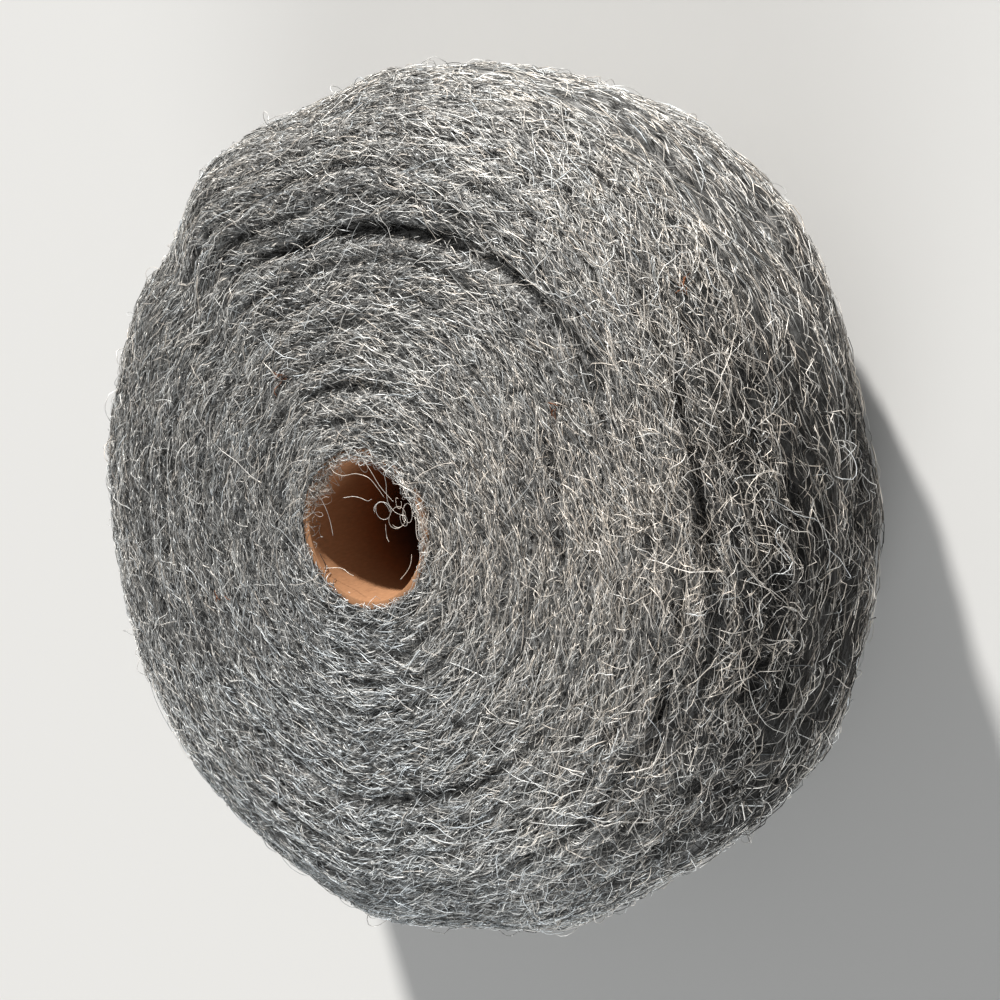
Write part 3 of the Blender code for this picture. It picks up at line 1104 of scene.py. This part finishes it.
def mouth_hairs(material):
    """The few hairs and the curled clump that hang over the tube's mouth."""
    rng = np.random.default_rng(401)
    lines = []
    for points, depth in MOUTH_HAIRS:
        flat = smooth_line(points, HAIR_POINTS) * MILLIMETRE
        drop = MILLIMETRE * depth * np.sin(math.pi * np.linspace(0.15, 0.85, HAIR_POINTS))
        lines.append(np.column_stack([flat, ROLL_HEIGHT - drop]))
    for (x, y), radius, loops in MOUTH_CURLS:
        start = rng.uniform(0, math.tau)
        angle = start + math.tau * loops * np.linspace(0, 1, HAIR_POINTS)
        size = radius * (1 + 0.10 * np.sin(2.3 * angle)) * np.linspace(0.92, 1.1, HAIR_POINTS)
        drop = 2.5 + 0.8 * np.sin(angle + start)
        curl = np.column_stack([x + size * np.cos(angle), y + size * np.sin(angle), -drop])
        lines.append(MILLIMETRE * curl + (0, 0, ROLL_HEIGHT))
    lines = np.array(lines)
    count = len(lines)
    widths = np.full(count, HAIR_WIDTH)
    tones = rng.uniform(0.50, 0.78, count)
    return strand_object("mouth_hairs", lines, UPWARD, widths, tones, rng, material, 1.0)


# The short curled hairs: the middle turn and the spread of where they hang, how far back in
# the wool they start, and how far below the top face
TANGLE_TURN = 0.14
TANGLE_SPREAD = 0.045
TANGLE_ROOT = 0.0012
TANGLE_BELOW = 0.0012


def mouth_tangle(material):
    """Short curled hairs that hang over one side of the tube's mouth."""
    rng = np.random.default_rng(405)
    count = 84
    each = (count, 1)
    share = np.linspace(0, 1, 14)[None]
    turn = rng.normal(TANGLE_TURN, TANGLE_SPREAD, each)
    sweep = rng.normal(0, 0.006, each) / (math.tau * MOUTH_RADIUS)
    reach = np.abs(rng.normal(0, 0.0026, each))
    curl = rng.uniform(0.0003, 0.0012, each)
    start = rng.uniform(0, math.tau, each)
    phase = start + math.tau * rng.uniform(0.8, 2.2, each) * share
    inward = (reach + TANGLE_ROOT) * np.sin(math.pi * share)
    radius = MOUTH_RADIUS + TANGLE_ROOT - inward + curl * np.cos(phase)
    angle = math.tau * (turn + sweep * (share - 0.5)) + curl * np.sin(phase) / MOUTH_RADIUS
    sag = rng.uniform(0.0, 0.004, each) * np.sin(math.pi * share)
    height = ROLL_HEIGHT - TANGLE_BELOW - sag + 0.5 * curl * np.sin(phase)
    lines = np.stack([radius * np.cos(angle), radius * np.sin(angle), height], -1)
    widths = rng.uniform(0.00008, 0.00015, count)
    tones = rng.uniform(0.22, 0.62, count)
    return strand_object("mouth_tangle", lines, UPWARD, widths, tones, rng, material, 1.3)


# The fluff's density round the mouth: its least, how much more there is at its two thickest
# places, the first of them, and how much less where the card's rim is bare
FLUFF_LEAST = 0.25
FLUFF_MORE = 0.45
FLUFF_TURN = 0.12
FLUFF_LESS = 0.85


def mouth_fluff(material):
    """Short fluff round the tube's mouth."""
    rng = np.random.default_rng(402)
    count = 900
    turn = rng.random(count)
    thick = FLUFF_LEAST + FLUFF_MORE * np.cos(math.tau * (turn - FLUFF_TURN)) ** 2
    thick = thick * (1.0 - FLUFF_LESS * peak(turn, BARE_RIM_TURN, 0.14))
    keep = rng.random(count) < thick
    turn = turn[keep]
    count = len(turn)
    along = rng.uniform(0.3, 1.6, count) * LIP_END
    lean = rng.choice([-1, 1], count) * rng.uniform(0.2, 1.1, count)
    heading = lean + math.pi * rng.integers(0, 2, count)
    bend = rng.normal(0, 1.6, count)
    wave = rng.uniform(0.2, 0.8, count)
    length = rng.uniform(0.004, 0.010, count)
    lift = rng.uniform(0.0, 0.0006, count)
    arch = rng.uniform(0.0, 0.0022, count)
    lines, normals = walk(rng, turn, along, length, 9, heading, bend, wave, length, lift, arch)
    widths = rng.uniform(0.00010, 0.00020, count)
    tones = rng.uniform(0.3, 0.9, count)
    return strand_object("mouth_fluff", lines, normals, widths, tones, rng, material)


def make_floor():
    """A plain pale floor."""
    bpy.ops.mesh.primitive_plane_add(size=8.0, location=(0, 0, 0))
    floor = bpy.context.object
    floor.name = "floor"
    material = bpy.data.materials.new("pale_floor")
    nodes, links, shader = node_links(material)
    shader.inputs["Base Color"].default_value = (0.72, 0.72, 0.71, 1.0)
    shader.inputs["Roughness"].default_value = 0.9
    floor.data.materials.append(material)
    return floor


def make_sun(name, tilt, heading, strength, spread, colour):
    """A far light from one direction."""
    data = bpy.data.lights.new(name, "SUN")
    data.energy = strength
    data.angle = math.radians(spread)
    data.color = colour
    lamp = bpy.data.objects.new(name, data)
    bpy.context.collection.objects.link(lamp)
    tilt = math.radians(tilt)
    heading = math.radians(heading)
    level = math.sin(tilt)
    towards = Vector((level * math.cos(heading), level * math.sin(heading), math.cos(tilt)))
    lamp.rotation_mode = "QUATERNION"
    lamp.rotation_quaternion = towards.to_track_quat("Z", "Y")


def make_light():
    """The two suns and an even pale sky."""
    for sun in SUNS:
        make_sun(*sun)
    world = bpy.data.worlds.new("studio")
    bpy.context.scene.world = world
    world.use_nodes = True
    nodes = world.node_tree.nodes
    links = world.node_tree.links
    sky = nodes["Background"]
    sky.inputs["Color"].default_value = (1.0, 1.0, 1.0, 1.0)
    path = nodes.new("ShaderNodeLightPath").outputs
    seen = math_node(nodes, links, "MAXIMUM", path["Is Camera Ray"], path["Is Transmission Ray"])
    links.new(map_range(nodes, links, seen, 0.0, 1.0, SKY_STRENGTH), sky.inputs["Strength"])


def make_camera():
    """The camera of the photograph."""
    data = bpy.data.cameras.new("camera")
    data.lens = CAMERA_LENS
    data.sensor_width = 36.0
    data.clip_start = 0.01
    camera = bpy.data.objects.new("camera", data)
    bpy.context.collection.objects.link(camera)
    back = -CAMERA_LOOK.normalized()
    right = CAMERA_UP.cross(back).normalized()
    up = back.cross(right)
    turned = Matrix((right, up, back)).transposed().to_4x4()
    camera.matrix_world = Matrix.Translation(CAMERA_PLACE) @ turned
    bpy.context.scene.camera = camera


def dress(piece, slot, *nodes):
    """The piece moves with the roll, and the imported nodes it stands in for are hidden."""
    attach(piece, "root")
    if nodes:
        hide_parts(*nodes)


def main():
    """The camera, the light and the floor, then the roll piece by piece."""
    bpy.context.scene.view_settings.view_transform = "Standard"
    make_camera()
    make_light()
    make_floor()
    strands = strand_steel()
    dress(wool_base(packed_steel()), "steel_wool", "wool_turns")
    dress(card_tube(kraft()), "kraft_cardboard", "cardboard_core")
    for make in (mouth_hairs, mouth_tangle, mouth_fluff, edge_loops, rust_flecks):
        dress(make(strands), "steel_wool")
    rim = SIDE_START - 0.012
    top = (0.0, rim)
    side = (rim - 0.004, SIDE_END + 0.02)
    under = (SIDE_END + 0.01, ALONG_END)
    # The low layers are given darker tones than the high ones, as painted shade of the wool's depth, and
    # the glints the brightest, as painted highlights
    # Name, seed, count, span, length, width, points, stray, raised, spread, bridging and tone
    layers = (
        ("top_strands_low", 101, 15000, top, 0.0085, 0.00023, 4, 0.24, 0.0, -1, 0.10, 0.45),
        ("top_strands_middle", 102, 15000, top, 0.0078, 0.00020, 4, 0.40, 0.0003, -1, 0.35, 0.59),
        ("top_strands_high", 103, 6500, top, 0.0090, 0.00018, 6, 0.46, 0.0005, 0, 0.60, 0.72),
        ("top_strands_loose", 104, 3200, top, 0.0120, 0.00019, 8, 0.60, 0.0009, 0.8, 0.60, 0.76),
        ("top_glints", 105, 8600, top, 0.0024, 0.00025, 3, 0.50, 0.0006, 0, 0.30, 0.86),
        ("side_strands_low", 106, 8000, side, 0.0120, 0.00028, 4, 0.24, 0.0, 0, 0.10, 0.50),
        ("side_strands_high", 107, 4200, side, 0.0110, 0.00022, 5, 0.42, 0.0005, 0, 0.50, 0.66),
        ("under_strands", 108, 1800, under, 0.0120, 0.00026, 4, 0.24, 0.0, 0, 0.10, 0.60),
    )
    for name, *spec in layers:
        dress(strand_layer(name, *spec, strands), "steel_wool")


main()
